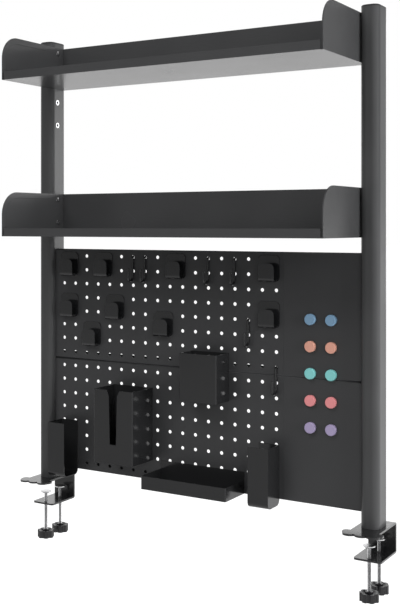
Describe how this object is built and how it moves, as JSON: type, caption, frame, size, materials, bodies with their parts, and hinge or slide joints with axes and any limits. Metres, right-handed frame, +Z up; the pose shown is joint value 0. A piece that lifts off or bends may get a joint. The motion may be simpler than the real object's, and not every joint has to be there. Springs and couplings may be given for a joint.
{
  "type": "desk clamp pegboard organizer",
  "caption": "Desk-edge organizer: two clamped posts carry folded trays and a perforated back board with hooks, holders, bins and magnets.",
  "frame": {"origin": "midway between the posts, in line with the tray bolts, on the desk's top surface", "axes": "+X along the desk's edge to the right of a seated user, -Y towards the user, +Z up"},
  "size_m": [0.684, 0.205, 0.913],
  "materials": {
    "powder_coat": "smooth semi-gloss black powder coat",
    "zinc": "bright zinc plate",
    "black_plastic": "moulded black plastic",
    "rubber_pad": "matt black rubber sheet",
    "magnet_blue": "satin coloured shell",
    "magnet_peach": "satin coloured shell",
    "magnet_teal": "satin coloured shell",
    "magnet_coral": "satin coloured shell",
    "magnet_purple": "satin coloured shell"
  },
  "bodies": {
    "root": {"post_left": "powder_coat", "post_cap_left": "black_plastic", "foot_insert_left": "zinc", "clamp_bracket_left": "powder_coat", "desk_pad_left": "rubber_pad", "post_right": "powder_coat", "post_cap_right": "black_plastic", "foot_insert_right": "zinc", "clamp_bracket_right": "powder_coat", "desk_pad_right": "rubber_pad", "board_upper": "powder_coat", "board_lower": "powder_coat", "shelf_lower": "powder_coat", "shelf_upper": "powder_coat", "shelf_bolts": "zinc", "board_bolts": "zinc", "foot_bolts": "zinc", "rivet_nuts": "zinc", "plate_hook_1": "powder_coat", "plate_hook_2": "powder_coat", "plate_hook_3": "powder_coat", "plate_hook_4": "powder_coat", "plate_hook_5": "powder_coat", "plate_hook_6": "powder_coat", "plate_hook_7": "powder_coat", "plate_hook_8": "powder_coat", "plate_hook_9": "powder_coat", "wire_hook_1": "powder_coat", "wire_hook_2": "powder_coat", "wire_hook_3": "powder_coat", "wire_hook_4": "powder_coat", "wire_hook_5": "powder_coat", "wire_hook_6": "powder_coat", "magnet_a1": "magnet_blue", "magnet_a2": "magnet_peach", "magnet_a3": "magnet_teal", "magnet_a4": "magnet_coral", "magnet_a5": "magnet_purple", "magnet_b1": "magnet_blue", "magnet_b2": "magnet_peach", "magnet_b3": "magnet_teal", "magnet_b4": "magnet_coral", "magnet_b5": "magnet_purple"},
    "holder_left": {"side_holder_left": "powder_coat"},
    "holder_right": {"side_holder_right": "powder_coat"},
    "slotted_bin": {"slotted_bin": "powder_coat"},
    "square_bin": {"square_bin": "powder_coat"},
    "shallow_dish": {"shallow_dish": "powder_coat"},
    "pad_left_front": {"swivel_pad_left_front": "zinc"},
    "spindle_left_front": {"clamp_screw_left_front": "zinc", "clamp_knob_left_front": "black_plastic"},
    "pad_left_rear": {"swivel_pad_left_rear": "zinc"},
    "spindle_left_rear": {"clamp_screw_left_rear": "zinc", "clamp_knob_left_rear": "black_plastic"},
    "pad_right_front": {"swivel_pad_right_front": "zinc"},
    "spindle_right_front": {"clamp_screw_right_front": "zinc", "clamp_knob_right_front": "black_plastic"},
    "pad_right_rear": {"swivel_pad_right_rear": "zinc"},
    "spindle_right_rear": {"clamp_screw_right_rear": "zinc", "clamp_knob_right_rear": "black_plastic"}
  },
  "joints": [
    {"name": "pad_lift_left_front", "type": "slide", "parent": "root", "child": "pad_left_front", "axis": [0, 0, 1], "range_m": [-0.016, 0.0204]},
    {"name": "screw_turn_left_front", "type": "hinge", "parent": "pad_left_front", "child": "spindle_left_front", "pos_m": [-0.31, -0.015, -0.024], "axis": [0, 0, 1], "range_deg": [-5800, 7400]},
    {"name": "pad_lift_left_rear", "type": "slide", "parent": "root", "child": "pad_left_rear", "axis": [0, 0, 1], "range_m": [-0.016, 0.0204]},
    {"name": "screw_turn_left_rear", "type": "hinge", "parent": "pad_left_rear", "child": "spindle_left_rear", "pos_m": [-0.31, 0.029, -0.024], "axis": [0, 0, 1], "range_deg": [-5800, 7400]},
    {"name": "pad_lift_right_front", "type": "slide", "parent": "root", "child": "pad_right_front", "axis": [0, 0, 1], "range_m": [-0.016, 0.0204]},
    {"name": "screw_turn_right_front", "type": "hinge", "parent": "pad_right_front", "child": "spindle_right_front", "pos_m": [0.31, -0.015, -0.024], "axis": [0, 0, 1], "range_deg": [-5800, 7400]},
    {"name": "pad_lift_right_rear", "type": "slide", "parent": "root", "child": "pad_right_rear", "axis": [0, 0, 1], "range_m": [-0.016, 0.0204]},
    {"name": "screw_turn_right_rear", "type": "hinge", "parent": "pad_right_rear", "child": "spindle_right_rear", "pos_m": [0.31, 0.029, -0.024], "axis": [0, 0, 1], "range_deg": [-5800, 7400]},
    {"name": "slotted_bin_pull", "type": "slide", "parent": "root", "child": "slotted_bin", "axis": [0, -1, 0], "range_m": [0, 0.03]},
    {"name": "square_bin_pull", "type": "slide", "parent": "root", "child": "square_bin", "axis": [0, -1, 0], "range_m": [0, 0.03]},
    {"name": "shallow_dish_pull", "type": "slide", "parent": "root", "child": "shallow_dish", "axis": [0, -1, 0], "range_m": [0, 0.03]},
    {"name": "holder_left_pull", "type": "slide", "parent": "root", "child": "holder_left", "axis": [0, -1, 0], "range_m": [0, 0.03]},
    {"name": "holder_right_pull", "type": "slide", "parent": "root", "child": "holder_right", "axis": [0, -1, 0], "range_m": [0, 0.03]}
  ],
  "couplings": [
    {"joint": "screw_turn_left_front", "follows": "pad_lift_left_front", "rad_per_m": 6283.2},
    {"joint": "screw_turn_left_rear", "follows": "pad_lift_left_rear", "rad_per_m": 6283.2},
    {"joint": "screw_turn_right_front", "follows": "pad_lift_right_front", "rad_per_m": 6283.2},
    {"joint": "screw_turn_right_rear", "follows": "pad_lift_right_rear", "rad_per_m": 6283.2}
  ]
}
